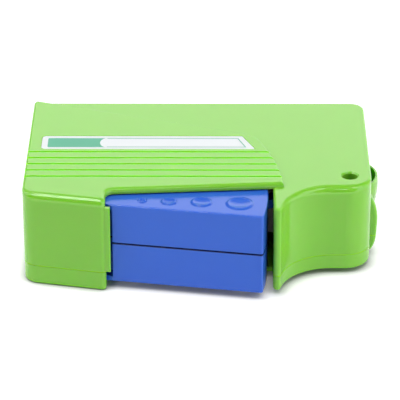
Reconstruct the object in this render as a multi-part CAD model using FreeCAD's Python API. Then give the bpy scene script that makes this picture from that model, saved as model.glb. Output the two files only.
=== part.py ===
import FreeCAD, Part
import math
import os
from FreeCAD import Vector

# Fibre optic connector cleaning cassette, in millimetres.
#
# Drawn from the left wall (x = 0), the front datum (y = 0) and the underside (z = 0): x runs
# to the cleaning window, y to the back and z up. save() moves every piece so that the origin
# is the middle of the underside.

# ---------------------------------------------------------------- casing
length = 120.4               # over the two end walls
depth = 80.5                 # front datum to back wall
height = 34.6                # over the two raised panels
panel_step = 1.4             # raised panel above the field round the lanyard hole
wall = 2.0
seam_z = 6.9                 # parting plane between cover and upper casing
edge_round = 0.9             # outer edges
front_round = 2.7            # top edges of the two front walls
mouth_round = 1.4            # panel's edges round the lever's mouth
seam_height = 0.3            # groove along the casing's parting line
seam_depth = 0.15
lip_height = 1.2             # cover's locating lip
lip_thickness = 0.8
lip_gap = 0.1

front_left_angle = math.radians(-12.0)   # front wall of the left end, seen in plan
front_left_y = 5.2           # where that wall meets the left wall
front_left_end = 28.8        # its far end, and the left side of the lever's mouth
tongue_length = 1.6          # wall end that laps in front of the lever
tongue_set_back = 0.6
tongue_round = 0.4
tongue_below_plate = 0.3
jamb_from_right = 34.2       # right side of the mouth
horn_y = -3.2                # tip of the horn beside the lever
horn_width = 2.4             # across the tip
horn_lean = math.radians(15.0)           # its right side, from straight back
horn_rounds = [1.5, 1.0]     # tip's two upright edges
horn_top_round = 1.1
front_right_y = 12.2         # front wall of the right end
sweep_from_right = 13.4      # where the hollow curve from the horn meets it
mouth_y_left = 8.4           # casing plate's edge over the lever
mouth_y_right = 12.7
corner_front_left = 6.0
corner_front_right = 9.0
corner_back_right = 5.0
corner_back_left = 3.5
corner_mouth = 3.0

# raised panel: its far edge, measured from the right wall and the front datum
panel_tip_from_right = 30.5
panel_bend = [(32.8, 29.5), (38.1, 46.5), (41.4, 51.2), (47.4, 54.0)]

groove_width = 1.0
groove_depth = 0.5
groove_count = 5
groove_pitch = 4.73
groove_first_y = 18.4

label_left = 4.8
label_right_back = 75.8
label_right_front = 80.3
label_front = 39.7
label_back = 50.0
label_corner = 1.6
label_thickness = 0.15
label_recess = 0.25
label_gap = 0.15

# ---------------------------------------------------------------- lanyard hole and screws
lanyard_from_right = 7.4
lanyard_y = 21.8
lanyard_r = 2.6
lanyard_sink_r = 3.15
lanyard_sink_depth = 0.5
lanyard_boss_r = 4.4

screw_r = 1.3
screw_head_r = 2.4
screw_head_height = 1.6
screw_length = 15.0
screw_pocket_depth = 1.0     # head below the cover's outer face
screw_boss_r = 3.0
screw_fit = 0.03
cross_width = 0.7

# ---------------------------------------------------------------- lever
pivot_x = 10.0
pivot_y = 10.0
pivot_pin_r = 2.0
running_gap = 0.05
hub_r = 3.7
lever_press = math.radians(9.0)
lever_gap_z = 0.45           # between the lever's plates and the casing's
lever_wall = 1.8
lever_face_x = 31.0          # left end of the lever's face
lever_face_y = 1.5
lever_face_angle = math.radians(-9.5)
lever_jamb_gap = 1.7
lever_plate_back = 17.0      # back edge of the lever's plates, at the right end
lever_plate_back_left = 12.5
lever_end_wall_back = 10.5
lever_edge_round = 0.6
lever_end_round = 0.8        # upright edge between its face and its curved end
lever_seam_height = 0.45     # groove between the lever's shells
lever_seam_depth = 0.4
pad_radii = [1.7, 2.9, 3.85, 4.95]
pad_places = [(10.4, 4.6), (19.5, 4.1), (30.6, 3.7), (43.6, 2.6)]   # from the face's left end
pad_height = 0.35
pad_shoulder = 0.2           # sloped shoulder's share of a pad's radius
pad_rim = 0.2
pad_bowls = [0.4, 0.45, 0.5, 0.6]        # depth of each pad's bowl
lever_screw_r = 1.1
lever_screw_head_r = 2.0
lever_screw_length = 20.0
lever_screw_boss_r = 2.6
lever_screws = [(6.0, 6.4), (44.0, 0.4)]                            # from the face's left end

# ---------------------------------------------------------------- tape drive
tape_width = 12.0
tape_thickness = 0.3
tape_z = 8.6
tape_gap = 0.1
flange_r = 22.0
flange_thickness = 1.0
flange_gap = 0.2
core_r = 7.0
used_roll_r = 9.6
clean_roll_r = 20.4
takeup_x = 28.0
reel_from_back = 27.0
brake_seat_z = 5.2
brake_spring_height = 1.0
brake_felt_thickness = 1.1
brake_r = 8.5
supply_from_right = 40.0
post_r = 3.0
post_cap_r = 5.0
post_above_reel = 3.0
reel_window_r = 4.2          # lightening holes in the reels' upper flanges
reel_window_turn = 0.3
key_r = 5.0
key_flat = 4.2

tooth_count = 24
tooth_depth = 1.8
wheel_z = 4.9
wheel_thickness = 2.3
wheel_hole_r = 2.6
wheel_hole_at = 0.62         # share of the contact radius
tooth_step = 2 * math.pi / tooth_count

pawl_reach = 18.5            # nose to pawl pin, along the wheel's tangent
pawl_offset = 1.6            # pawl pin outside that tangent
pawl_boss_r = 2.3
pawl_pin_r = 1.0
pawl_gap = 0.2
pawl_back = 5.6              # leaf spring's post and the pawl's back, out from the tangent
pawl_post_r = 1.1
hold_angle = math.radians(150.0)
spring_leaf = 0.3
spring_wire = 0.7
spring_r = 2.2
spring_turns = 5
spring_x = 45.0              # return spring: lever's seat and casing's post
spring_seat_y = 13.0
spring_post_y = 26.5
spring_below_ceiling = 6.0
spring_seat_width = 6.0
spring_seat_thickness = 2.0
spring_seat_below = 3.2      # seat and post under the spring's axis

roller_r = 3.2
roller_pin_r = 1.2
roller_boss_wall = 1.4
roller_flange = 0.9
roller_flange_thickness = 0.7
front_roller_gap = 0.7       # to the lanyard hole's boss
platen_gap = 0.5             # front roller to platen holder
back_roller_gap = 0.3        # to the corner screw's boss
lead_roller_x = 62.0
lead_roller_y = 28.5

# ---------------------------------------------------------------- window and shutter
window_width = 11.0
window_z = 11.0
window_height = 10.0
window_plate_thickness = 1.2
window_gap = 0.2             # tape to window plate
platen_margin = 1.4          # platen holder past the window, each way
platen_back = 4.6            # platen holder's back and front faces behind the tape
platen_front = 2.6
platen_lip = 1.4
foot_reach = 3.5
foot_thickness = 1.5
pad_round = 0.8              # platen pad's edges against the tape
window_slot_height = 3.2
window_slot_gap = 1.9
shutter_lap = 4.4            # shutter in front of the window's front edge
shutter_lap_back = 1.0
shutter_z = 10.2
shutter_gap = 0.15
shutter_bulge = [(0.0, 1.9), (0.3, 2.6), (0.65, 3.4), (1.0, 3.2)]      # share of its height, and reach
shutter_shell = 0.7
shutter_skin = 0.6
tab_thickness = 1.4
tab_above_reel = 0.6         # shutter's tab over the reels' flanges
tab_cover = 0.4              # shutter's wall above the tab, and the arm's gap over it
drive_pin_from_right = 10.0
drive_pin_y = 32.0
drive_pin_r = 1.4
drive_pin_gap = 0.3
drive_arm_width = 5.0
slot_half_width = 3.6        # shutter's slotted arm, each side of the drive pin
slot_end_wall = 2.0
drive_arm_share = 0.424      # of the headroom between the tab and the ceiling
shutter_neck_at = 8.4        # from the shutter's front edge
shutter_neck_width = 6.0
guard_y = 26.6
guard_width = 2.6
guard_round = 0.8            # its far edges
guard_profile = [(1.5, 1.0), (4.5, 2.3), (9.5, 2.8), (14.6, 2.9), (19.0, 2.1), (23.2, 0.0)]   # height, reach

# ---------------------------------------------------------------- places worked out
floor_z = wall
ceiling_z = height - wall
field_floor_z = panel_step + wall
field_ceiling_z = height - panel_step - wall
jamb_x = length - jamb_from_right
horn_x = jamb_x + horn_width
lever_bottom = floor_z + lever_gap_z
lever_top = ceiling_z - lever_gap_z
lever_split_z = height / 2
lever_reach = math.hypot(jamb_x - lever_jamb_gap - pivot_x, 1.0)
pivot = Vector(pivot_x, pivot_y, 0)
takeup = Vector(takeup_x, depth - reel_from_back, 0)
supply = Vector(length - supply_from_right, depth - reel_from_back, 0)
end_wall_inside = length - wall
roller_x = end_wall_inside - window_plate_thickness - window_gap - tape_thickness - tape_gap - roller_r
flange_reach = roller_r + roller_flange
corner_screw_y = depth - 6.6
front_roller = Vector(roller_x, lanyard_y + lanyard_boss_r + front_roller_gap + flange_reach, 0)
window_y = front_roller.y + flange_reach + platen_gap + platen_margin
shutter_y = window_y - shutter_lap
shutter_width = shutter_lap + window_width + shutter_lap_back
shutter_neck_y = shutter_y + shutter_neck_at
back_roller = Vector(roller_x, corner_screw_y - screw_boss_r - flange_reach - back_roller_gap, 0)
lead_roller = Vector(lead_roller_x, lead_roller_y, 0)
lanyard = Vector(length - lanyard_from_right, lanyard_y, 0)
drive_pin = Vector(length - drive_pin_from_right, drive_pin_y, 0)
tape_top = tape_z + tape_width
reel_bottom = tape_z - flange_gap - flange_thickness
reel_top = tape_top + flange_gap + flange_thickness
post_top = reel_top + post_above_reel
tape_face_x = front_roller.x + roller_r + tape_gap
tab_z = reel_top + tab_above_reel
shutter_top = tab_z + tab_thickness + tab_cover
spring_z = ceiling_z - spring_below_ceiling
arm_z = tab_z + tab_thickness + tab_cover
drive_arm_thickness = drive_arm_share * (field_ceiling_z - arm_z)

# the lever's drive pin carries the shutter's tab along the back wall's direction
drive_arm = drive_pin.sub(pivot)
shutter_travel = drive_arm.x * math.sin(lever_press) - drive_arm.y * (1 - math.cos(lever_press))
drive_pin_shift = drive_arm.x * (1 - math.cos(lever_press)) + drive_arm.y * math.sin(lever_press)

# the wheel turns one tooth in one press: contact radius from the two pivots' distance
pivot_distance = takeup.sub(pivot).Length
contact_r = pivot_distance * lever_press / (lever_press + tooth_step)
wheel_outer_r = contact_r + tooth_depth / 2
wheel_root_r = contact_r - tooth_depth / 2
line_angle = math.atan2(pivot.y - takeup.y, pivot.x - takeup.x)
nose_angle = line_angle + tooth_step / 2
outward = Vector(math.cos(nose_angle), math.sin(nose_angle), 0)
tangent = Vector(-outward.y, outward.x, 0)
nose = takeup.add(outward * contact_r)
pawl_pin = nose.add(tangent * pawl_reach).add(outward * pawl_offset)

lever_screw_places = [Vector(lever_face_x + x, y, 0) for x, y in lever_screws]
roller_bottom = tape_z - flange_gap - roller_flange_thickness
roller_top = tape_top + flange_gap + roller_flange_thickness

# casing screws, each at the height of the underside there
casing_screws = [
    Vector(7.4, depth - 9.5, 0),
    Vector((takeup.x + supply.x) / 2, depth - 6.0, panel_step),
    Vector(length - 6.6, corner_screw_y, panel_step),
    Vector(length - 19.0, front_right_y + 4.9, panel_step),
    Vector((takeup.x + supply.x) / 2, takeup.y - 15.0, 0),
]


# ---------------------------------------------------------------- drawing helpers
def path_edges(points, closed):
    """Edges through (x, y) or (x, y, radius) corners, each round corner a tangent arc."""
    corners = [(Vector(p[0], p[1], 0), p[2] if len(p) > 2 else 0.0) for p in points]
    spans = []
    for i, (corner, radius) in enumerate(corners):
        if radius == 0.0:
            spans.append((corner, None, corner))
            continue
        before = corners[i - 1][0].sub(corner).normalize()
        after = corners[(i + 1) % len(corners)][0].sub(corner).normalize()
        half = before.getAngle(after) / 2
        run = radius / math.tan(half)
        middle = before.add(after).normalize()
        centre = corner.add(middle * (radius / math.sin(half)))
        spans.append((corner.add(before * run), centre.sub(middle * radius), corner.add(after * run)))
    edges = []
    for i, (start, crown, end) in enumerate(spans):
        if crown is not None:
            edges.append(Part.Arc(start, crown, end).toShape())
        following = spans[(i + 1) % len(spans)][0]
        if (closed or i + 1 < len(spans)) and end.distanceToPoint(following) > 1e-6:
            edges.append(Part.LineSegment(end, following).toShape())
    return edges


def rounded(points):
    return Part.Wire(path_edges(points, True))


def prism(wire, low, high):
    face = Part.Face(wire)
    face.translate(Vector(0, 0, low - wire.BoundBox.ZMin))
    return face.extrude(Vector(0, 0, high - low))


def slab(x0, x1, y0, y1, z0, z1):
    return Part.makeBox(x1 - x0, y1 - y0, z1 - z0, Vector(x0, y0, z0))


def rod(centre, radius, low, high):
    return Part.makeCylinder(radius, high - low, Vector(centre.x, centre.y, low))


def ring(centre, outer, inner, low, high):
    return rod(centre, outer, low, high).cut(rod(centre, inner, low - 1, high + 1))


def bar(start, end, width, low, high):
    """Straight bar with round ends, in plan from start to end."""
    along = Vector(end.x - start.x, end.y - start.y, 0)
    body = Part.makeBox(along.Length, width, high - low, Vector(0, -width / 2, low))
    body.rotate(Vector(0, 0, 0), Vector(0, 0, 1), math.degrees(math.atan2(along.y, along.x)))
    body.translate(Vector(start.x, start.y, 0))
    return body.multiFuse([rod(start, width / 2, low, high), rod(end, width / 2, low, high)])


def fused(shapes):
    return shapes[0].multiFuse(shapes[1:]) if len(shapes) > 1 else shapes[0]


def turned(vector, angle):
    return Vector(vector.x * math.cos(angle) - vector.y * math.sin(angle),
                  vector.x * math.sin(angle) + vector.y * math.cos(angle), vector.z)


def at_angle(centre, radius, angle):
    return Vector(centre.x + radius * math.cos(angle), centre.y + radius * math.sin(angle), 0)


def level(edge, z):
    return abs(edge.BoundBox.ZMin - z) < 1e-6 and abs(edge.BoundBox.ZMax - z) < 1e-6


def screw_seat(screw):
    return screw.z + screw_pocket_depth + screw_head_height


def section(shape, z):
    """Outer boundary of the shape's section at a height."""
    wires = shape.slice(Vector(0, 0, 1), z)
    return max(wires, key=lambda w: Part.Face(w).Area)


def inset(wire, distance):
    return Part.Face(wire).makeOffset2D(-distance).OuterWire


def save(node, shape):
    placed = shape.removeSplitter()
    placed.translate(Vector(-length / 2, -depth / 2, 0))
    placed.exportStep("parts/" + node + ".step")
    print(node, len(placed.Solids), round(placed.Volume, 1), placed.isValid())


# ---------------------------------------------------------------- casing
def front_left_wall(x, behind=0.0):
    """Where the left end's front wall lies at x, or a line that far behind it."""
    return front_left_y + x * math.tan(front_left_angle) + behind / math.cos(front_left_angle)


def mouth_edge(x):
    """Edge of the casing's plates over and under the lever."""
    share = (x - front_left_end) / (jamb_x - front_left_end)
    return mouth_y_left + share * (mouth_y_right - mouth_y_left)


def field_outline():
    """Casing in plan. The raised panel covers its edge along the mouth, so it is set back there."""
    set_back = 1.0
    left = front_left_end - set_back
    sweep_x = horn_x + (front_right_y - horn_y) * math.tan(horn_lean)
    sweep_end = length - sweep_from_right
    sweep_radius = (sweep_end - sweep_x) * math.tan(math.pi / 4 + horn_lean / 2)
    return rounded([
        (0, front_left_y, corner_front_left),
        (left, front_left_wall(left)),
        (left, mouth_edge(left) + set_back),
        (jamb_x, mouth_edge(jamb_x) + set_back),
        (jamb_x, horn_y, horn_rounds[0]),
        (horn_x, horn_y, horn_rounds[1]),
        (sweep_x, front_right_y, sweep_radius),
        (length, front_right_y, corner_front_right),
        (length, depth, corner_back_right),
        (0, depth, corner_back_left),
    ])


def panel_outline():
    """Raised panel in plan: everything left of the curved step."""
    bend = [Vector(length - x, y, 0) for x, y in panel_bend]
    tip_x = length - panel_tip_from_right
    tip = Vector(tip_x, mouth_edge(tip_x), 0)
    corner = Vector(corner_back_left, depth - corner_back_left, 0)
    back = at_angle(corner, corner_back_left, math.radians(135))
    side = at_angle(corner, corner_back_left, math.pi)
    front = path_edges([
        (side.x, side.y),
        (0, front_left_y, corner_front_left),
        (front_left_end, front_left_wall(front_left_end)),
        (front_left_end, mouth_y_left, corner_mouth),
        (tip.x, tip.y),
    ], False)
    step = [
        Part.Arc(tip, bend[0], bend[1]).toShape(),
        Part.Arc(bend[1], bend[2], bend[3]).toShape(),
        Part.LineSegment(bend[3], back).toShape(),
        Part.Arc(back, at_angle(corner, corner_back_left, math.radians(157.5)), side).toShape(),
    ]
    return Part.Wire(front + step)


def roll_edges(body, radius_at):
    """Rounds edges by radius_at(edge, point), asked at both ends of each; None leaves it sharp."""
    document = FreeCAD.newDocument()
    base = document.addObject("Part::Feature", "Base")
    base.Shape = body
    roll = document.addObject("Part::Fillet", "Roll")
    roll.Base = base
    choice = []
    for number, edge in enumerate(body.Edges, 1):
        ends = [radius_at(edge, edge.valueAt(p)) for p in (edge.FirstParameter, edge.LastParameter)]
        if None not in ends:
            choice.append((number, ends[0], ends[1]))
    roll.Edges = choice
    document.recompute()
    shape = roll.Shape.copy()
    FreeCAD.closeDocument(document.Name)
    return shape


def field_roll(edge, point):
    """Radii of the field: the front wall's top edge is rolled, and dies away along its neighbours."""
    middle = edge.CenterOfMass
    in_mouth = middle.x < jamb_x - 0.5 and middle.y < mouth_y_right + 3
    if in_mouth or not (level(edge, panel_step) or level(edge, height - panel_step)):
        return None
    if level(edge, panel_step) or point.x < jamb_x - 0.5 or point.y > front_right_y + 0.01:
        return edge_round
    return front_round if point.x > length - sweep_from_right - 0.01 else horn_top_round


def panel_roll(edge, point):
    """Radii of the raised panel: front wall, lever's mouth and that wall's upright end, and the rest."""
    middle = edge.CenterOfMass
    if level(edge, 0):
        return edge_round
    if not level(edge, height):
        wall_end = abs(middle.x - front_left_end) + abs(middle.y - front_left_wall(front_left_end)) < 0.01
        return mouth_round if wall_end else None
    along_mouth = middle.x > front_left_end - 0.01 and middle.y < mouth_edge(middle.x) + 0.01
    if along_mouth:
        return mouth_round
    on_front = point.y < front_left_wall(point.x) + 0.01
    return front_round if on_front else edge_round


def outer_block():
    field = roll_edges(prism(field_outline(), panel_step, height - panel_step), field_roll)
    panel = prism(panel_outline(), 0, height)
    return field.cut(panel).fuse(roll_edges(panel, panel_roll))


def window_guard():
    """Upright rib beside the cleaning window, its outer edge a smooth curve."""
    inner = end_wall_inside + wall / 2
    curve = Part.BSplineCurve()
    curve.interpolate([Vector(length + reach, guard_y, z) for z, reach in guard_profile])
    low = Vector(inner, guard_y, guard_profile[0][0])
    high = Vector(inner, guard_y, guard_profile[-1][0])
    ends = [Part.LineSegment(low, curve.StartPoint).toShape(), Part.LineSegment(curve.EndPoint, high).toShape(),
            Part.LineSegment(high, low).toShape()]
    rib = Part.Face(Part.Wire([ends[0], curve.toShape()] + ends[1:])).extrude(Vector(0, guard_width, 0))
    return rib.makeFillet(guard_round, [e for e in rib.Edges if e.Curve.TypeId == "Part::GeomBSplineCurve"])


def tongue():
    """Upper wall's end, set back behind its rounded edge, that closes the gap to the lever."""
    start = front_left_end - wall
    end = front_left_end + tongue_length
    return prism(rounded([
        (start, front_left_wall(start, tongue_set_back)),
        (end, front_left_wall(end, tongue_set_back), tongue_round),
        (end, front_left_wall(end, wall)),
        (start, front_left_wall(start, wall)),
    ]), seam_z + seam_height, lever_top - tongue_below_plate)


def cavity(block):
    """Space inside both shells, with the lever's mouth open."""
    field = prism(inset(section(block, height / 2), wall), field_floor_z, field_ceiling_z)
    panel = prism(inset(panel_outline(), wall), floor_z, ceiling_z)
    left = front_left_end - 4
    lap = front_left_end + tongue_length
    mouth = prism(rounded([
        (lap, -20),
        (jamb_x, -20),
        (jamb_x, mouth_edge(jamb_x) + 3),
        (left, mouth_edge(left) + 3),
        (left, front_left_wall(left, wall)),
        (lap, front_left_wall(lap, wall)),
    ]), floor_z, ceiling_z)
    return field.multiFuse([panel, mouth])


def lip_band(outline, low, high, inner, outer):
    """Band following the casing's wall between two insets from its outer face."""
    return prism(inset(outline, outer), low, high).cut(prism(inset(outline, inner), low, high))


def seam_groove(outline):
    """Everything outside the casing's outline drawn in by the groove's depth, but for the guard's core."""
    around = slab(-10, length + 10, -30, depth + 10, seam_z - 1, seam_z + seam_height)
    core = slab(end_wall_inside, length + guard_profile[1][1], guard_y + seam_depth,
                guard_y + guard_width - seam_depth, seam_z - 2, seam_z + 1)
    return around.cut(prism(inset(outline, seam_depth), seam_z - 2, seam_z + 1).fuse(core))


def window_cuts():
    window = slab(end_wall_inside - 1, length + 5, window_y, window_y + window_width,
                  window_z, window_z + window_height)
    neck_low = shutter_neck_y - drive_pin_gap
    neck_high = shutter_neck_y + shutter_neck_width + shutter_travel + drive_pin_gap
    slot = slab(end_wall_inside - 1, length + 5, neck_low, neck_high,
                tab_z - tape_gap, tab_z + tab_thickness + tape_gap)
    return window.fuse(slot)


def lanyard_cut():
    sinks = [
        Part.makeCone(lanyard_sink_r, lanyard_r, lanyard_sink_depth,
                      Vector(lanyard.x, lanyard.y, panel_step)),
        Part.makeCone(lanyard_r, lanyard_sink_r, lanyard_sink_depth,
                      Vector(lanyard.x, lanyard.y, height - panel_step - lanyard_sink_depth)),
    ]
    return rod(lanyard, lanyard_r, -1, height + 1).multiFuse(sinks)


def label_outline(margin):
    slope = (label_right_front - label_right_back) / (label_back - label_front)
    return rounded([
        (label_left - margin, label_front - margin, label_corner),
        (label_right_front + margin * (1 + slope), label_front - margin, 0.6),
        (label_right_back + margin * (1 - slope), label_back + margin, 0.6),
        (label_left - margin, label_back + margin, label_corner),
    ])


def grooves():
    cuts = []
    for i in range(groove_count):
        y = groove_first_y + i * groove_pitch
        cuts.append(slab(-1, length - panel_tip_from_right + 1, y - groove_width / 2,
                         y + groove_width / 2, height - groove_depth, height + 1))
    return cuts


def upper_casing(block, space, outline):
    above = slab(-10, length + 10, -30, depth + 10, seam_z, height + 10)
    shell = block.common(above).cut(space)
    bosses = [rod(s, screw_boss_r, seam_z, height - wall) for s in casing_screws]
    bosses.append(rod(lanyard, lanyard_boss_r, seam_z, height - 2 * panel_step))
    bosses += [rod(reel, post_cap_r, reel_top + flange_gap, height - wall) for reel in (takeup, supply)]
    bosses.append(slab(spring_x - spring_seat_width / 2, spring_x + spring_seat_width / 2, spring_post_y,
                       spring_post_y + spring_seat_thickness, spring_z - spring_seat_below, height - wall / 2))
    shell = shell.multiFuse(bosses + [tongue()])
    cuts = [rod(s, screw_r + screw_fit, seam_z - 1, screw_seat(s) + screw_length + 1) for s in casing_screws]
    cuts += [rod(reel, post_r + tape_gap, reel_top, post_top + tape_gap) for reel in (takeup, supply)]
    cuts.append(rod(pivot, pivot_pin_r + screw_fit, seam_z, height - wall / 2 + tape_gap))
    cuts += [window_cuts(), lanyard_cut()]
    cuts.append(prism(label_outline(label_gap), height - label_recess, height + 1))
    cuts += grooves()
    cuts.append(seam_groove(outline))
    cuts.append(lip_band(outline, seam_z, seam_z + lip_height + lip_gap,
                         wall + 0.01, wall - lip_thickness - lip_gap))
    return shell.cut(fused(cuts))


def lower_cover(block, space, outline):
    below = slab(-10, length + 10, -30, depth + 10, -10, seam_z)
    shell = block.common(below).cut(space)
    bosses = [rod(s, screw_head_r + 1.2, floor_z, seam_z) for s in casing_screws]
    bosses.append(rod(lanyard, lanyard_boss_r, 2 * panel_step, seam_z))
    bosses += [rod(reel, post_r, floor_z, post_top) for reel in (takeup, supply)]
    bosses.append(rod(takeup, post_cap_r, floor_z, wheel_z - tape_gap))
    bosses.append(rod(supply, brake_r + 0.5, floor_z, brake_seat_z))
    bosses += [rod(roller, roller_pin_r + roller_boss_wall, floor_z, roller_bottom - tape_gap)
               for roller in (front_roller, back_roller, lead_roller)]
    bosses.append(hold_anchor(floor_z, wheel_z + wheel_thickness))
    bosses.append(lip_band(outline, seam_z - 1, seam_z + lip_height, wall, wall - lip_thickness).cut(space))
    shell = shell.multiFuse(bosses)
    cuts = [rod(s, screw_r + tape_gap, -1, seam_z + 1) for s in casing_screws]
    cuts += [rod(s, screw_head_r + 0.2, s.z - 1, screw_seat(s)) for s in casing_screws]
    cuts += [rod(roller, roller_pin_r + screw_fit, floor_z + tape_gap, roller_bottom)
             for roller in (front_roller, back_roller, lead_roller)]
    cuts.append(rod(pivot, pivot_pin_r + screw_fit, wall / 2 - tape_gap, seam_z))
    cuts.append(lanyard_cut())
    cuts.append(hold_slot())
    return shell.cut(fused(cuts))


def label():
    return prism(label_outline(0), height - label_recess, height - label_recess + label_thickness)


def screw(place, seat, shank_r, head_r, head_height, reach):
    """Pan-head screw driven upwards, head below the seat, with a cross recess."""
    head = rod(place, head_r, seat - head_height, seat)
    shank = rod(place, shank_r, seat - 0.1, seat + reach - shank_r)
    point = Part.makeCone(shank_r, shank_r / 3, shank_r, Vector(place.x, place.y, seat + reach - shank_r))
    arm = head_r * 0.6
    low = seat - head_height - 1
    high = seat - head_height / 2
    cross = [
        slab(place.x - arm, place.x + arm, place.y - cross_width / 2, place.y + cross_width / 2, low, high),
        slab(place.x - cross_width / 2, place.x + cross_width / 2, place.y - arm, place.y + arm, low, high),
    ]
    return head.multiFuse([shank, point]).cut(fused(cross))


# ---------------------------------------------------------------- lever
def face_line(x, behind=0.0):
    """Where the lever's front face lies at x, or a line that far behind it."""
    return lever_face_y + (x - lever_face_x) * math.tan(lever_face_angle) + behind / math.cos(lever_face_angle)


def lever_plate(low, high):
    """Top or bottom plate of the lever, hub and all, ending in an arc about the pivot."""
    far = length
    inside = lever_face_x - 1.7
    plate = prism(rounded([
        (pivot.x, pivot.y - hub_r),
        (inside, front_left_wall(inside, wall) + 1.2),
        (lever_face_x, face_line(lever_face_x)),
        (far, face_line(far)),
        (far, lever_plate_back),
        (jamb_x - 4, lever_plate_back),
        (lead_roller.x, lever_plate_back_left + 1.5, 6.0),
        (pivot.x + 14, lever_plate_back_left),
        (pivot.x, pivot.y + hub_r),
    ]), low, high)
    return plate.fuse(rod(pivot, hub_r, low, high)).common(rod(pivot, lever_reach, low, high))


def lever_walls(low, high):
    """Front face, left end and curved right end, open to the back."""
    outer = prism(rounded([
        (lever_face_x, face_line(lever_face_x)),
        (length, face_line(length)),
        (length, lever_end_wall_back),
        (lever_face_x, lever_end_wall_back),
    ]), low, high).common(rod(pivot, lever_reach, low, high))
    hollow = prism(rounded([
        (lever_face_x + lever_wall, face_line(lever_face_x + lever_wall, lever_wall)),
        (length, face_line(length, lever_wall)),
        (length, depth / 2),
        (lever_face_x + lever_wall, depth / 2),
    ]), low - 1, high + 1).common(rod(pivot, lever_reach - lever_wall, low - 1, high + 1))
    return outer.cut(hollow)


def lever_body(low, high, plate_low, plate_high):
    plate = lever_plate(plate_low, plate_high)
    web = bar(pivot, Vector(lever_face_x + lever_wall / 2, pivot.y - 3, 0), lever_wall, low, high)
    ribs = [lever_rib(share, low, high) for share in (0.33, 0.66)]
    return plate.multiFuse([lever_walls(low, high), web, rod(pivot, hub_r, low, high)] + ribs)


def lever_rib(share, low, high):
    x = lever_face_x + share * (lever_reach + pivot.x - lever_face_x)
    start = face_line(x, lever_wall / 2)
    return slab(x - lever_wall / 3, x + lever_wall / 3, start, start + 6.0, low, high)


def round_lever(body, z):
    """Rounds the edges that show: round the plate's front and curved end, and the upright between."""
    def lever_roll(edge, point):
        middle = edge.CenterOfMass
        outside = math.hypot(middle.x - pivot.x, middle.y - pivot.y) > lever_reach - lever_wall / 2
        in_front = middle.x > lever_face_x + 1 and middle.y < face_line(middle.x) + 0.6
        if level(edge, z) and (in_front or outside):
            return lever_edge_round
        upright = edge.BoundBox.ZLength > lever_wall
        return lever_end_round if upright and in_front and outside else None

    return roll_edges(body.removeSplitter(), lever_roll)


def lever_bores(low, high):
    bores = [rod(pivot, pivot_pin_r + running_gap, low - 1, high + 1)]
    bores += [rod(s, lever_screw_r + screw_fit, low - 1, high - lever_wall / 2) for s in lever_screw_places]
    return bores


def finger_pads():
    """Raised pads with a sloped shoulder, and the bowls cut into them."""
    mounds = []
    bowls = []
    for (x, y), radius, bowl in zip(pad_places, pad_radii, pad_bowls):
        centre = Vector(lever_face_x + x, y, lever_top)
        top_r = radius * (1 - pad_shoulder)
        mounds.append(Part.makeCone(radius, top_r, pad_height, centre))
        mounds.append(rod(centre, radius, lever_top - lever_wall / 2, lever_top))
        bowl_r = ((top_r - pad_rim) ** 2 + bowl ** 2) / (2 * bowl)
        bowls.append(Part.makeSphere(bowl_r, centre.add(Vector(0, 0, pad_height - bowl + bowl_r))))
    return mounds, bowls


def drive_arm_shape():
    """Arm from under the lever's upper plate to the pin that carries the shutter."""
    root = Vector(lever_face_x + 33, 10.5, 0)
    knee = Vector(jamb_x - 4.2, mouth_y_right + wall + 0.5, 0)
    top = arm_z + drive_arm_thickness
    pieces = [
        bar(root, knee, drive_arm_width, arm_z, lever_top - lever_wall / 2),
        bar(knee, drive_pin, drive_arm_width, arm_z, top),
        rod(drive_pin, drive_pin_r, tab_z - tape_gap, arm_z + 0.5),
    ]
    swept = rod(pivot, lever_reach - 0.3, arm_z, lever_top)
    return [pieces[0].common(swept), pieces[1], pieces[2]]


def spring_seat():
    seat = slab(spring_x - spring_seat_width / 2, spring_x + spring_seat_width / 2,
                spring_seat_y - spring_seat_thickness, spring_seat_y,
                spring_z - spring_seat_below, lever_top - 0.5)
    peg = Part.makeCylinder(spring_r - spring_wire, 1.5, Vector(spring_x, spring_seat_y - 0.2, spring_z),
                            Vector(0, 1, 0))
    return [seat, peg]


def lever_upper_shell():
    low = lever_split_z
    body = lever_body(low, lever_top, lever_top - lever_wall, lever_top)
    body = round_lever(body, lever_top)
    mounds, bowls = finger_pads()
    bosses = [rod(s, lever_screw_boss_r, low, lever_top - 0.5) for s in lever_screw_places]
    body = body.multiFuse(mounds + drive_arm_shape() + spring_seat() + bosses)
    reveal = lever_walls(low - 1, low + lever_seam_height).cut(lever_inset(low - 2, low + 1))
    return body.cut(fused(lever_bores(low, lever_top) + bowls + [reveal]))


def lever_inset(low, high):
    """Lever's wall outline drawn in by the depth of the shadow gap."""
    return prism(rounded([
        (lever_face_x + lever_seam_depth, face_line(lever_face_x, lever_seam_depth)),
        (length, face_line(length, lever_seam_depth)),
        (length, lever_end_wall_back + 1),
        (lever_face_x + lever_seam_depth, lever_end_wall_back + 1),
    ]), low, high).common(rod(pivot, lever_reach - lever_seam_depth, low, high))


def lever_lower_shell():
    high = lever_split_z
    body = lever_body(lever_bottom, high, lever_bottom, lever_bottom + lever_wall)
    body = round_lever(body, lever_bottom)
    bosses = [rod(s, lever_screw_boss_r, lever_bottom, high) for s in lever_screw_places]
    arm = bar(Vector(pivot.x + 18, pivot.y + 1, 0), pawl_pin, 2 * pawl_boss_r, lever_bottom,
              lever_bottom + lever_wall)
    body = body.multiFuse(bosses + [arm, pawl_spring_post()])
    cuts = lever_bores(lever_bottom, high + 5)
    cuts.append(rod(pawl_pin, pawl_pin_r + screw_fit, lever_bottom + 0.6, high))
    cuts.append(pawl_leaf(spring_leaf + 2 * screw_fit, wheel_z, high))
    cuts += [rod(s, lever_screw_head_r + tape_gap, lever_bottom - 1, lever_bottom + screw_pocket_depth)
             for s in lever_screw_places]
    return body.cut(fused(cuts))


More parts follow.
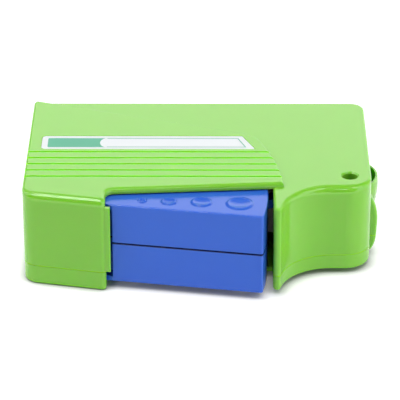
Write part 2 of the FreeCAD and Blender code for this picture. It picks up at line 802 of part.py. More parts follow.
# ---------------------------------------------------------------- ratchet
def pawl_point(along, out):
    """Point from the nose's contact: along the wheel's tangent, and out from the wheel."""
    return nose.add(tangent * along).add(outward * out)


def ratchet_wheel():
    corners = []
    for i in range(tooth_count):
        face_angle = nose_angle + i * tooth_step
        corners.append(at_angle(takeup, wheel_outer_r, face_angle))
        corners.append(at_angle(takeup, wheel_root_r, face_angle))
    rim = Part.makePolygon(corners + corners[:1])
    blank = prism(rim, wheel_z, wheel_z + wheel_thickness)
    holes = [rod(at_angle(takeup, contact_r * wheel_hole_at, k * math.pi / 3), wheel_hole_r, 0, height)
             for k in range(6)]
    return blank.cut(fused(holes + [key(tape_gap / 2)]))


def key(margin):
    """Two-flat hub that turns the wheel with the reel."""
    flats = slab(takeup.x - key_r - 1, takeup.x + key_r + 1, takeup.y - key_flat - margin,
                 takeup.y + key_flat + margin, 0, height)
    return rod(takeup, key_r + margin, wheel_z - 1, reel_bottom + 1).common(flats)


def drive_pawl():
    low = lever_bottom + lever_wall + tape_gap
    high = wheel_z + wheel_thickness
    nose_points = [
        (pawl_gap, -0.35), (pawl_gap + 0.3, -0.35), (3.7, 3.0), (10.0, 2.9), (pawl_reach, pawl_offset),
        (pawl_reach, pawl_offset + pawl_boss_r), (9.0, 5.4), (2.0, 5.2), (pawl_gap, 4.0),
    ]
    corners = [pawl_point(along, out) for along, out in nose_points]
    arm = prism(Part.makePolygon(corners + corners[:1]), max(low, wheel_z), high)
    boss = rod(pawl_pin, pawl_boss_r, low, high)
    return arm.fuse(boss).cut(rod(pawl_pin, pawl_pin_r + running_gap, 0, height))


def pawl_spring_post():
    return rod(pawl_point(pawl_reach + 1.0, pawl_back), pawl_post_r,
               lever_bottom, wheel_z + wheel_thickness - 0.3)


def pawl_leaf(thickness, low, high):
    """Leaf from its post on the lever to the back of the pawl."""
    start = pawl_point(pawl_reach + 1.0, pawl_back)
    end = pawl_point(8.0, pawl_back + spring_leaf)
    return bar(start, end, thickness, low, high)


def drive_pawl_spring():
    return pawl_leaf(spring_leaf, wheel_z + 0.2, wheel_z + wheel_thickness - 0.3)


def hold_points():
    """Tip, bend and anchor of the holding leaf, which stops the wheel turning back."""
    tip_angle = line_angle + tooth_step / 2 + round((hold_angle - nose_angle) / tooth_step) * tooth_step
    out = Vector(math.cos(tip_angle), math.sin(tip_angle), 0)
    along = turned(out, math.pi / 2)
    base = takeup.add(out * (contact_r - tooth_depth / 4))
    tip = base.add(along * 0.5)
    bend = tip.add(along * 5.0).add(out * 2.0)
    anchor = tip.add(along * 12.5).add(out * 2.6)
    return tip, bend, anchor


def holding_pawl():
    tip, bend, anchor = hold_points()
    low = wheel_z + tape_gap
    high = wheel_z + wheel_thickness - tape_gap
    return bar(tip, bend, spring_leaf, low, high).fuse(bar(bend, anchor, spring_leaf, low, high))


def hold_anchor(low, high):
    tip, bend, anchor = hold_points()
    back = anchor.add(anchor.sub(bend).normalize() * 0.5)
    return bar(anchor.sub(anchor.sub(bend).normalize() * 1.5), back, 2.6, low, high)


def hold_slot():
    tip, bend, anchor = hold_points()
    far = anchor.add(anchor.sub(bend).normalize() * 0.1)
    return bar(bend, far, spring_leaf + 2 * screw_fit, wheel_z, height)


# ---------------------------------------------------------------- reels and tape
def reel(centre, key_shape):
    flanges = [
        rod(centre, flange_r, reel_bottom, reel_bottom + flange_thickness),
        rod(centre, flange_r, reel_top - flange_thickness, reel_top),
    ]
    body = rod(centre, core_r, reel_bottom, reel_top).multiFuse(flanges)
    if key_shape is not None:
        body = body.fuse(key_shape.common(rod(centre, key_r + 1, wheel_z, reel_bottom + 1)))
    windows = [rod(at_angle(centre, (core_r + flange_r) / 2, k * math.pi / 3 + reel_window_turn), reel_window_r,
                   reel_top - 2 * flange_thickness, reel_top + 1) for k in range(6)]
    windows = [w.cut(rod(centre, flange_r, 0, reel_top - flange_thickness)) for w in windows]
    return body.cut(fused(windows + [rod(centre, post_r + running_gap, 0, height)]))


def roll(centre, radius):
    return ring(centre, radius, core_r + 0.02, tape_z, tape_top)


def roller(centre):
    body = rod(centre, roller_r, roller_bottom, roller_top)
    rims = [
        rod(centre, roller_r + roller_flange, roller_bottom, roller_bottom + roller_flange_thickness),
        rod(centre, roller_r + roller_flange, roller_top - roller_flange_thickness, roller_top),
    ]
    return body.multiFuse(rims).cut(rod(centre, roller_pin_r + running_gap, 0, height))


def tape_path(extra):
    """Tape from the full roll round the rollers to the used roll, as a line that far out."""
    stations = [
        (supply, clean_roll_r + extra), (back_roller, roller_r + extra), (front_roller, roller_r + extra),
        (lead_roller, roller_r + extra), (takeup, used_roll_r + extra),
    ]
    runs = []
    for (start, r0), (end, r1) in zip(stations, stations[1:]):
        along = end.sub(start)
        lean = (r0 - r1) / along.Length
        along.normalize()
        side = along * lean + turned(along, math.pi / 2) * math.sqrt(1 - lean ** 2)
        runs.append((start.add(side * r0), end.add(side * r1), side))
    edges = []
    for i, (leave, arrive, side) in enumerate(runs):
        edges.append(Part.LineSegment(leave, arrive).toShape())
        if i + 1 < len(runs):
            centre, radius = stations[i + 1]
            crown = centre.add(side.add(runs[i + 1][2]).normalize() * radius)
            edges.append(Part.Arc(arrive, crown, runs[i + 1][0]).toShape())
    return edges


def tape_run():
    near = tape_path(tape_gap)
    far = tape_path(tape_gap + tape_thickness)
    ends = [
        Part.LineSegment(near[0].Vertexes[0].Point, far[0].Vertexes[0].Point).toShape(),
        Part.LineSegment(near[-1].Vertexes[-1].Point, far[-1].Vertexes[-1].Point).toShape(),
    ]
    wire = Part.Wire(Part.__sortEdges__(near + far + ends))
    return prism(wire, tape_z, tape_top)


def platen_holder():
    x0 = tape_face_x - platen_back
    x1 = tape_face_x - platen_front
    y0 = window_y - platen_margin
    y1 = window_y + window_width + platen_margin
    back = slab(x0, x1, y0, y1, field_floor_z, tape_top + 0.4)
    lips = [
        slab(x0, x1 + platen_lip, y0, y1, field_floor_z, tape_z - tape_gap),
        slab(x0, x1 + platen_lip, y0, y1, tape_top + tape_gap, tape_top + 0.6),
    ]
    feet = [slab(x0 - foot_reach, x0 + 0.5, y, y + foot_thickness, field_floor_z, tape_z + tape_width / 3)
            for y in (y0 + 1, y1 - 1 - foot_thickness)]
    return back.multiFuse(lips + feet)


def platen_pad():
    x1 = tape_face_x - platen_front
    body = slab(x1, tape_face_x - tape_gap, window_y - 0.6, window_y + window_width + 0.6,
                tape_z + tape_gap, tape_top - tape_gap)
    edges = [e for e in body.Edges if e.CenterOfMass.x > tape_face_x - 0.5 and e.Length > 8]
    return body.makeFillet(pad_round, edges)


def window_plate():
    x1 = end_wall_inside
    middle = window_z + window_height / 2
    plate = slab(x1 - window_plate_thickness, x1, window_y - 1.8, window_y + window_width + 1.8,
                 tape_z + 1, tab_z - 0.4)
    slots = []
    for side in (-1, 1):
        centre = middle + side * (window_slot_height + window_slot_gap) / 2
        slots.append(slab(x1 - 5, x1 + 5, window_y + 1.2, window_y + window_width - 1.2,
                          centre - window_slot_height / 2, centre + window_slot_height / 2))
    return plate.cut(fused(slots))


def shutter_arc(z, reach, margin):
    """Bulging outline of the shutter in plan at one height."""
    x = length + shutter_gap
    y0 = shutter_y + margin
    y1 = shutter_y + shutter_width - margin
    bow = Part.Arc(Vector(x, y0, z), Vector(x + reach - margin, (y0 + y1) / 2, z), Vector(x, y1, z))
    return Part.Wire([bow.toShape(), Part.LineSegment(Vector(x, y1, z), Vector(x, y0, z)).toShape()])


def shutter():
    rows = [(shutter_z + share * (shutter_top - shutter_z), reach) for share, reach in shutter_bulge]
    bulge = Part.makeLoft([shutter_arc(z, reach, 0) for z, reach in rows], True, False)
    inner = [(z if i else z + shutter_shell, reach) for i, (z, reach) in enumerate(rows)]
    inner.append((shutter_top + 1, shutter_bulge[-1][1]))
    hollow = Part.makeLoft([shutter_arc(z, reach, shutter_shell) for z, reach in inner], True, False)
    x0 = length + shutter_gap
    skin = slab(x0, x0 + shutter_skin, shutter_y + 1.2, shutter_y + shutter_width - 1.2, shutter_z, shutter_top)
    high = tab_z + tab_thickness
    reach_in = drive_pin.x - drive_pin_shift - drive_pin_r - slot_end_wall
    slot_y = drive_pin.y
    neck = slab(end_wall_inside - 1, x0 + 0.5, shutter_neck_y, shutter_neck_y + shutter_neck_width, tab_z, high)
    inner_bar = slab(end_wall_inside - 5, end_wall_inside - drive_pin_gap, slot_y - slot_half_width,
                     shutter_neck_y + shutter_neck_width + 4, tab_z, high)
    slot_arm = slab(reach_in, end_wall_inside - 1, slot_y - slot_half_width, slot_y + slot_half_width,
                    tab_z, high)
    half = drive_pin_r + drive_pin_gap
    slot = bar(Vector(drive_pin.x - drive_pin_shift, slot_y, 0), Vector(drive_pin.x, slot_y, 0),
               2 * half, tab_z - 1, high + 1)
    return bulge.cut(hollow).multiFuse([skin, neck, inner_bar, slot_arm]).cut(slot)


def lever_return_spring():
    """Coil of half rings, each tilted by its share of the pitch, so that their ends meet square."""
    start = spring_seat_y + spring_wire / 2 + running_gap
    rise = (spring_post_y - spring_seat_y - spring_wire - 2 * running_gap) / (2 * spring_turns)
    tilt = math.atan2(rise / 2, spring_r)
    ring_r = math.hypot(rise / 2, spring_r)
    halves = []
    for i in range(2 * spring_turns):
        half = Part.makeTorus(ring_r, spring_wire / 2, Vector(0, 0, 0), Vector(0, 0, 1), 0, 360, 180)
        half.rotate(Vector(0, 0, 0), Vector(0, 1, 0), math.degrees(tilt))
        half.rotate(Vector(0, 0, 0), Vector(0, 0, 1), 180 * i)
        half.translate(Vector(0, 0, rise * (i + 0.5)))
        halves.append(half)
    coil = fused(halves)
    coil.rotate(Vector(0, 0, 0), Vector(1, 0, 0), -90)
    coil.translate(Vector(spring_x, start, spring_z))
    return coil


def brake_spring():
    """Wave washer drawn as the shallow cone it is pressed to."""
    outer = brake_r
    inner = outer - 3.0
    z0 = brake_seat_z
    z1 = z0 + brake_spring_height
    profile = Part.makePolygon([
        Vector(outer, 0, z0), Vector(outer, 0, z0 + 0.3), Vector(inner, 0, z1), Vector(inner, 0, z1 - 0.3),
        Vector(outer, 0, z0),
    ])
    washer = Part.Face(profile).revolve(Vector(0, 0, 0), Vector(0, 0, 1), 360)
    washer.translate(supply)
    return washer


def main():
    os.makedirs("parts", exist_ok=True)
    outer = outer_block()
    block = outer.fuse(window_guard())
    space = cavity(outer)
    outline = section(outer, seam_z)
    save("upper_casing", upper_casing(block, space, outline))
    save("lower_cover", lower_cover(block, space, outline))
    save("top_label", label())
    save("casing_screws", Part.makeCompound([
        screw(s, screw_seat(s), screw_r, screw_head_r, screw_head_height, screw_length)
        for s in casing_screws]))
    save("lever_upper_shell", lever_upper_shell())
    save("lever_lower_shell", lever_lower_shell())
    save("lever_screws", Part.makeCompound([
        screw(s, lever_bottom + screw_pocket_depth, lever_screw_r, lever_screw_head_r,
              screw_pocket_depth - tape_gap, lever_screw_length)
        for s in lever_screw_places]))
    save("lever_pivot_pin", rod(pivot, pivot_pin_r, wall / 2, height - wall / 2))
    save("lever_return_spring", lever_return_spring())
    save("drive_pawl", drive_pawl())
    save("drive_pawl_pin", rod(pawl_pin, pawl_pin_r, lever_bottom + 0.6, wheel_z + wheel_thickness))
    save("drive_pawl_spring", drive_pawl_spring())
    save("ratchet_wheel", ratchet_wheel())
    save("holding_pawl", holding_pawl())
    save("takeup_reel", reel(takeup, key(0)))
    save("used_tape_roll", roll(takeup, used_roll_r))
    save("supply_reel", reel(supply, None))
    save("clean_tape_roll", roll(supply, clean_roll_r))
    save("brake_spring", brake_spring())
    save("brake_felt", ring(supply, brake_r, post_r + 0.5, reel_bottom - brake_felt_thickness - tape_gap,
                            reel_bottom - tape_gap))
    save("front_tape_roller", roller(front_roller))
    save("back_tape_roller", roller(back_roller))
    save("lead_tape_roller", roller(lead_roller))
    save("roller_pins", Part.makeCompound([
        rod(r, roller_pin_r, floor_z + tape_gap, roller_top + 0.3)
        for r in (front_roller, back_roller, lead_roller)]))
    save("cleaning_tape", tape_run())
    save("platen_holder", platen_holder())
    save("platen_pad", platen_pad())
    save("window_plate", window_plate())
    save("shutter", shutter())


main()
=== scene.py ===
import math

import bmesh
import bpy
from mathutils import Matrix, Vector


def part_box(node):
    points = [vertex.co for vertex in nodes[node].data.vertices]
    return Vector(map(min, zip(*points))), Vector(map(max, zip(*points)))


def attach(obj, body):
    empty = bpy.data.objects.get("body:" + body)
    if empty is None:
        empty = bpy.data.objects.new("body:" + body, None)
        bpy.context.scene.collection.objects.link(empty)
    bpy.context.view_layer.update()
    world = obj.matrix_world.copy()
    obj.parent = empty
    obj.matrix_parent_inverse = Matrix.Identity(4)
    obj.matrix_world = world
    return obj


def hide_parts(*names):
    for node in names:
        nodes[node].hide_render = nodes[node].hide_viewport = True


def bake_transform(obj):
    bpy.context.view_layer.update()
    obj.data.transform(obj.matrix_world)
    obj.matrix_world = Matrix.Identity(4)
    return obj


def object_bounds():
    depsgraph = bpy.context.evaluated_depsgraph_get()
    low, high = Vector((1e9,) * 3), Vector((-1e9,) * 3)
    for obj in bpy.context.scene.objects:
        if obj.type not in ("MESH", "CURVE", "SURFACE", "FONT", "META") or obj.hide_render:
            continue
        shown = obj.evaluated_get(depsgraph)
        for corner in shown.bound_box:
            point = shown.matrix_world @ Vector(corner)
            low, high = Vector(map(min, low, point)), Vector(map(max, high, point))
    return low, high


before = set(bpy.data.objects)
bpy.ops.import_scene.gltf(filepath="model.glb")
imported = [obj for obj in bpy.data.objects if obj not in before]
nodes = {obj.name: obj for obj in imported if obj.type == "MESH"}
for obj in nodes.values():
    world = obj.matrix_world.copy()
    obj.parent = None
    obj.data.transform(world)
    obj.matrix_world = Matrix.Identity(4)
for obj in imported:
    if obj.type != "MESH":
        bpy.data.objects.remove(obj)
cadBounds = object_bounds()
print("frame loaded:", len(nodes), "nodes")

millimetre = 0.001


# small helpers for modelling
def newPiece(name):
    # renames the primitive just added, moves its place into the mesh and leaves it alone selected
    piece = bpy.context.active_object
    piece.name = name
    piece.data.name = name
    bpy.ops.object.transform_apply(location=True, rotation=True, scale=True)
    return piece


def startFlat(name, left, front, right, back, height):
    bpy.ops.object.select_all(action="DESELECT")
    bpy.ops.mesh.primitive_plane_add(size=1, location=((left + right) / 2, (front + back) / 2, height))
    bpy.context.active_object.scale = (right - left, back - front, 1)
    return newPiece(name)


def startBlock(name, low, high):
    bpy.ops.object.select_all(action="DESELECT")
    bpy.ops.mesh.primitive_cube_add(size=1, location=[(a + b) / 2 for a, b in zip(low, high)])
    bpy.context.active_object.scale = [b - a for a, b in zip(low, high)]
    return newPiece(name)


def selectWhere(piece, kind, test):
    # in edit mode: selects the edges or faces whose middle passes the test
    bpy.ops.mesh.select_mode(type={"edges": "EDGE", "faces": "FACE"}[kind])
    shape = bmesh.from_edit_mesh(piece.data)
    for part in shape.verts[:] + shape.edges[:] + shape.faces[:]:
        part.select = False
    for part in getattr(shape, kind):
        if test(sum((corner.co for corner in part.verts), Vector()) / len(part.verts)):
            part.select_set(True)
    shape.select_flush_mode()
    bmesh.update_edit_mesh(piece.data)


def finishWith(piece, kind, settings):
    # adds one modifier and applies it
    bpy.ops.object.select_all(action="DESELECT")
    piece.select_set(True)
    bpy.context.view_layer.objects.active = piece
    modifier = piece.modifiers.new(kind.lower(), kind)
    for key, value in settings.items():
        setattr(modifier, key, value)
    bpy.ops.object.modifier_apply(modifier=modifier.name)


def finishPiece(piece, material, body):
    piece.data.materials.clear()
    piece.data.materials.append(material)
    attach(piece, body)


# small helpers for nodes: their owner is a material or the world
def addNode(owner, kind, place, settings=None):
    # a setting is a property of the node or else the value of one of its sockets
    node = owner.node_tree.nodes.new(kind)
    node.location = place
    for key, value in (settings or {}).items():
        if hasattr(node, key):
            setattr(node, key, value)
        else:
            node.inputs[key].default_value = value
    return node


def join(owner, fromSocket, toSocket):
    owner.node_tree.links.new(fromSocket, toSocket)


def feed(owner, source, socket):
    # the source is another node's output or a fixed value
    if isinstance(source, bpy.types.NodeSocket):
        join(owner, source, socket)
    else:
        socket.default_value = source


def emptyMaterial(name):
    material = bpy.data.materials.new(name)
    material.use_nodes = True
    material.node_tree.nodes.clear()
    output = addNode(material, "ShaderNodeOutputMaterial", (700, 0))
    return material, output


def objectPlace(material):
    return addNode(material, "ShaderNodeTexCoord", (-900, 0)).outputs["Object"]


def opaque(colour):
    return (*colour, 1)


mixSockets = {"first": 6, "second": 7, "result": 2}  # where a Mix node keeps its colours


def mixColours(owner, share, first, second, where):
    # the first colour where the share is 0, the second where it is 1
    mix = addNode(owner, "ShaderNodeMix", where, {"data_type": "RGBA"})
    feed(owner, first, mix.inputs[mixSockets["first"]])
    feed(owner, second, mix.inputs[mixSockets["second"]])
    join(owner, share, mix.inputs["Factor"])
    return mix.outputs[mixSockets["result"]]


def calculate(owner, operation, where, *values):
    step = addNode(owner, "ShaderNodeMath", where, {"operation": operation})
    for value, socket in zip(values, step.inputs):
        feed(owner, value, socket)
    return step.outputs[0]


def remap(owner, value, where, settings):
    ramp = addNode(owner, "ShaderNodeMapRange", where, settings)
    join(owner, value, ramp.inputs["Value"])
    return ramp.outputs["Result"]


def noiseAt(material, place, scale, grain, where):
    # the grain is how many finer layers the noise has and how strongly they count
    detail, roughness = grain
    noise = addNode(material, "ShaderNodeTexNoise", where,
                    {"Scale": scale, "Detail": detail, "Roughness": roughness})
    join(material, place, noise.inputs["Vector"])
    return noise.outputs["Fac"]


def glossFrom(material, value, roughness, shader, where):
    # the value moves the shader's roughness between two limits
    low, high = roughness
    join(material, remap(material, value, where, {"To Min": low, "To Max": high}), shader.inputs["Roughness"])


# injection-moulded plastic: faint flow marks in the colour, handling wear in the gloss, orange peel
# and edges that catch the light as a small round does
plasticGrain = {"flow": (3.0, 0.5), "wear": (6.0, 0.65), "peel": (2.0, 0.5)}
edgeSamples = 6


def mouldedPlastic(name, look):
    material, output = emptyMaterial(name)
    place = objectPlace(material)
    shader = addNode(material, "ShaderNodeBsdfPrincipled", (400, 0), {
        "IOR": look["ior"],
        "Subsurface Weight": look["depthGlow"],
        "Subsurface Scale": look["glowReach"],
        "Subsurface Radius": look["glowRadius"],
    })
    flow = noiseAt(material, place, look["flowScale"], plasticGrain["flow"], (-650, 250))
    tint = mixColours(material, flow, opaque(look["colour"]), opaque(look["flowColour"]), (100, 250))
    join(material, tint, shader.inputs["Base Color"])
    wear = noiseAt(material, place, look["wearScale"], plasticGrain["wear"], (-650, 0))
    glossFrom(material, wear, look["roughness"], shader, (-300, 0))
    peel = noiseAt(material, place, look["peelScale"], plasticGrain["peel"], (-650, -250))
    bump = addNode(material, "ShaderNodeBump", (100, -250),
                   {"Strength": look["peelStrength"], "Distance": look["peelHeight"]})
    softEdge = addNode(material, "ShaderNodeBevel", (-150, -400),
                       {"samples": edgeSamples, "Radius": look["edgeSoftness"]})
    join(material, softEdge.outputs["Normal"], bump.inputs["Normal"])
    join(material, peel, bump.inputs["Height"])
    join(material, bump.outputs["Normal"], shader.inputs["Normal"])
    join(material, shader.outputs["BSDF"], output.inputs["Surface"])
    return material


greenLook = {
    "colour": (0.206, 0.530, 0.036), "flowColour": (0.216, 0.545, 0.042),
    "ior": 1.50, "depthGlow": 1.0, "glowReach": 0.0015, "glowRadius": (0.6, 1.0, 0.25),
    "flowScale": 60.0, "wearScale": 420.0, "roughness": (0.10, 0.16),
    "peelScale": 900.0, "peelStrength": 0.02, "peelHeight": 0.00002, "edgeSoftness": 0.0001,
}
blueLook = {
    "colour": (0.025, 0.118, 0.590), "flowColour": (0.028, 0.124, 0.610),
    "ior": 1.40, "depthGlow": 0.3, "glowReach": 0.0008, "glowRadius": (0.2, 0.5, 1.0),
    "flowScale": 70.0, "wearScale": 380.0, "roughness": (0.13, 0.19),
    "peelScale": 1100.0, "peelStrength": 0.02, "peelHeight": 0.00002, "edgeSoftness": 0.00035,
}
acetalLook = {
    "colour": (0.78, 0.78, 0.75), "flowColour": (0.74, 0.74, 0.70),
    "ior": 1.48, "depthGlow": 0.25, "glowReach": 0.0015, "glowRadius": (1.0, 0.9, 0.8),
    "flowScale": 120.0, "wearScale": 500.0, "roughness": (0.38, 0.52),
    "peelScale": 1500.0, "peelStrength": 0.15, "peelHeight": 0.00003, "edgeSoftness": 0.0001,
}
blackLook = {
    "colour": (0.020, 0.020, 0.022), "flowColour": (0.028, 0.028, 0.030),
    "ior": 1.50, "depthGlow": 0.0, "glowReach": 0.0005, "glowRadius": (1.0, 1.0, 1.0),
    "flowScale": 140.0, "wearScale": 600.0, "roughness": (0.42, 0.60),
    "peelScale": 2600.0, "peelStrength": 0.45, "peelHeight": 0.00006, "edgeSoftness": 0.0001,
}
greenShell = mouldedPlastic("greenShell", greenLook)


def bandMask(material, axisValue, middle, halfWidth, softness):
    # 1 where the value is within halfWidth of the middle, fading to 0 over the softness, in millimetres
    away = calculate(material, "SUBTRACT", (-1100, 600), axisValue, middle * millimetre)
    distance = calculate(material, "ABSOLUTE", (-1000, 600), away)
    return remap(material, distance, (-900, 600), {
        "From Min": halfWidth * millimetre, "From Max": (halfWidth + softness) * millimetre,
        "To Min": 1.0, "To Max": 0.0})


def alongAxes(material):
    # the X, Y and Z of each place, from the material's own coordinates
    place = next(node for node in material.node_tree.nodes if node.type == "TEX_COORD").outputs["Object"]
    split = addNode(material, "ShaderNodeSeparateXYZ", (-1300, 600))
    join(material, place, split.inputs["Vector"])
    return split.outputs


def tintWhere(material, mask, colour):
    # lays the colour over the material's own where the mask is 1
    shader = next(node for node in material.node_tree.nodes if node.type == "BSDF_PRINCIPLED")
    plain = shader.inputs["Base Color"].links[0].from_socket
    tint = mixColours(material, mask, plain, opaque(colour), (250, 450))
    join(material, tint, shader.inputs["Base Color"])


# painted light: the finger grooves and the parting line are painted a brighter, more saturated green,
# standing in for light glowing through the thin resin in the grooves and for a highlight along the parting
# line
paintedGlowLines = {
    "colour": (0.29, 0.80, 0.010),
    "grooveFirst": -21.85, "groovePitch": 4.73, "grooveCount": 5, "grooveHalfWidth": 0.5,
    "grooveSoftness": 0.1, "grooveMiddle": 34.32, "grooveHalfDepth": 0.28,
    "seamMiddle": 7.05, "seamHalfHeight": 0.17, "softness": 0.04,
}


# paints the brighter green of the painted light into the grooves and along the parting line
def paintGlowInLines(material, lines):
    axes = alongAxes(material)
    middles = [lines["grooveFirst"] + count * lines["groovePitch"] for count in range(lines["grooveCount"])]
    bands = [bandMask(material, axes["Y"], middle, lines["grooveHalfWidth"], lines["grooveSoftness"])
             for middle in middles]
    across = bands[0]
    for band in bands[1:]:
        across = calculate(material, "MAXIMUM", (-700, 600), across, band)
    deep = bandMask(material, axes["Z"], lines["grooveMiddle"], lines["grooveHalfDepth"], lines["softness"])
    grooves = calculate(material, "MULTIPLY", (-500, 600), across, deep)
    seam = bandMask(material, axes["Z"], lines["seamMiddle"], lines["seamHalfHeight"], lines["softness"])
    tintWhere(material, calculate(material, "MAXIMUM", (-300, 600), grooves, seam), lines["colour"])


paintGlowInLines(greenShell, paintedGlowLines)
blueLever = mouldedPlastic("blueLever", blueLook)

# painted shade: a dark navy band painted along the line where the lever's two shells meet, standing in for
# the shade in the narrow gap between them
leverSeamShade = {"colour": (0.003, 0.016, 0.100), "middle": 17.3, "halfHeight": 0.26, "softness": 0.05}


# paints the dark band of painted shade along the lever's seam
def paintSeamShade(material, line):
    band = bandMask(material, alongAxes(material)["Z"], line["middle"], line["halfHeight"], line["softness"])
    tintWhere(material, band, line["colour"])


paintSeamShade(blueLever, leverSeamShade)
whiteMoulding = mouldedPlastic("whiteMoulding", acetalLook)
blackMoulding = mouldedPlastic("blackMoulding", blackLook)
print("plastics ready")

# steel drawn along its length: the brush marks are a noise squeezed in Z
steelLook = {"colour": (0.60, 0.60, 0.62), "roughness": (0.16, 0.36), "brushScale": (40, 40, 1400),
             "brushGrain": (4.0, 0.6), "brushStrength": 0.18, "brushHeight": 0.00002}


def brushedSteel(name, look):
    material, output = emptyMaterial(name)
    place = objectPlace(material)
    stretch = addNode(material, "ShaderNodeMapping", (-700, 0), {"Scale": look["brushScale"]})
    join(material, place, stretch.inputs["Vector"])
    lines = noiseAt(material, stretch.outputs["Vector"], 1.0, look["brushGrain"], (-450, 0))
    shader = addNode(material, "ShaderNodeBsdfPrincipled", (400, 0),
                     {"Metallic": 1.0, "Base Color": opaque(look["colour"])})
    glossFrom(material, lines, look["roughness"], shader, (-150, 0))
    bump = addNode(material, "ShaderNodeBump", (100, -250),
                   {"Strength": look["brushStrength"], "Distance": look["brushHeight"]})
    join(material, lines, bump.inputs["Height"])
    join(material, bump.outputs["Normal"], shader.inputs["Normal"])
    join(material, shader.outputs["BSDF"], output.inputs["Surface"])
    return material


brightSteel = brushedSteel("brightSteel", steelLook)

# microfibre tape and felt: a fine noise stands for the fibres, in the colour and as bumps
clothLook = {"colour": (0.82, 0.82, 0.79), "shade": (0.62, 0.62, 0.60), "threads": 2600.0,
             "roughness": 0.92, "sheen": 0.35, "height": 0.00005}
feltLook = {"colour": (0.19, 0.19, 0.19), "shade": (0.09, 0.09, 0.09), "threads": 1500.0,
            "roughness": 0.98, "sheen": 0.5, "height": 0.00012}
fibreGrain = (4.0, 0.7)
fibreStrength = 0.6


def wovenCloth(name, look):
    material, output = emptyMaterial(name)
    place = objectPlace(material)
    fibres = noiseAt(material, place, look["threads"], fibreGrain, (-650, 100))
    shader = addNode(material, "ShaderNodeBsdfPrincipled", (400, 0),
                     {"Roughness": look["roughness"], "Sheen Weight": look["sheen"]})
    tint = mixColours(material, fibres, opaque(look["shade"]), opaque(look["colour"]), (0, 200))
    join(material, tint, shader.inputs["Base Color"])
    bump = addNode(material, "ShaderNodeBump", (100, -250),
                   {"Strength": fibreStrength, "Distance": look["height"]})
    join(material, fibres, bump.inputs["Height"])
    join(material, bump.outputs["Normal"], shader.inputs["Normal"])
    join(material, shader.outputs["BSDF"], output.inputs["Surface"])
    return material


cleaningCloth = wovenCloth("cleaningCloth", clothLook)
greyFelt = wovenCloth("greyFelt", feltLook)
rubberLook = {**blackLook, "colour": (0.035, 0.035, 0.035), "roughness": (0.55, 0.75)}
filmLook = {**acetalLook, "colour": (0.78, 0.81, 0.82), "flowColour": (0.76, 0.79, 0.80)}
padRubber = mouldedPlastic("padRubber", rubberLook)
labelFilm = mouldedPlastic("labelFilm", filmLook)

# which finish each carried-over piece takes
finishes = {
    greenShell: ["upper_casing", "lower_cover", "shutter"],
    blueLever: ["lever_upper_shell", "lever_lower_shell"],
    labelFilm: ["top_label"],
    whiteMoulding: ["drive_pawl", "ratchet_wheel", "takeup_reel", "supply_reel", "front_tape_roller",
                    "back_tape_roller", "lead_tape_roller"],
    blackMoulding: ["platen_holder", "window_plate"],
    brightSteel: ["casing_screws", "lever_screws", "lever_pivot_pin", "lever_return_spring",
                  "drive_pawl_pin", "drive_pawl_spring", "holding_pawl", "brake_spring", "roller_pins"],
    cleaningCloth: ["used_tape_roll", "clean_tape_roll", "cleaning_tape"],
    greyFelt: ["brake_felt"],
    padRubber: ["platen_pad"],
}
for finish, names in finishes.items():
    for name in names:
        nodes[name].data.materials.clear()
        nodes[name].data.materials.append(finish)
print("finishes laid on:", sum(len(names) for names in finishes.values()), "pieces")

# printing on the label: a teal block with a bullet-shaped end and a thin line round the bare field
labelPrint = {
    "blockLeft": 2.1, "blockRight": 22.9, "frontMargin": 1.4, "backMargin": 1.7, "blockRound": 0.5,
    "roundSteps": 5, "bulletDepth": 2.3, "bulletSides": 48, "bulletHeight": 0.16, "lineWidth": 0.38,
    "lineLift": 0.005, "slantInset": 1.6, "inkHeight": 0.02, "edgeReach": 0.005, "cornerReach": 0.02,
}
inkLook = {**acetalLook, "colour": (0.050, 0.36, 0.21), "flowColour": (0.056, 0.38, 0.225),
           "depthGlow": 0.0, "roughness": (0.30, 0.40)}
tealInk = mouldedPlastic("tealInk", inkLook)


def labelSlant(reach):
    # the label's slanted right end: a point on it and its direction, from the film's own corners
    corners = [vertex.co for vertex in nodes["top_label"].data.vertices]
    backEdge = max(corner.y for corner in corners)
    frontEdge = min(corner.y for corner in corners)
    backRight = max(corner.x for corner in corners if corner.y > backEdge - reach)
    frontRight = max(corner.x for corner in corners if corner.y < frontEdge + reach)
    along = Vector((backRight - frontRight, backEdge - frontEdge, 0)).normalized()
    return Vector((frontRight, frontEdge, 0)), along


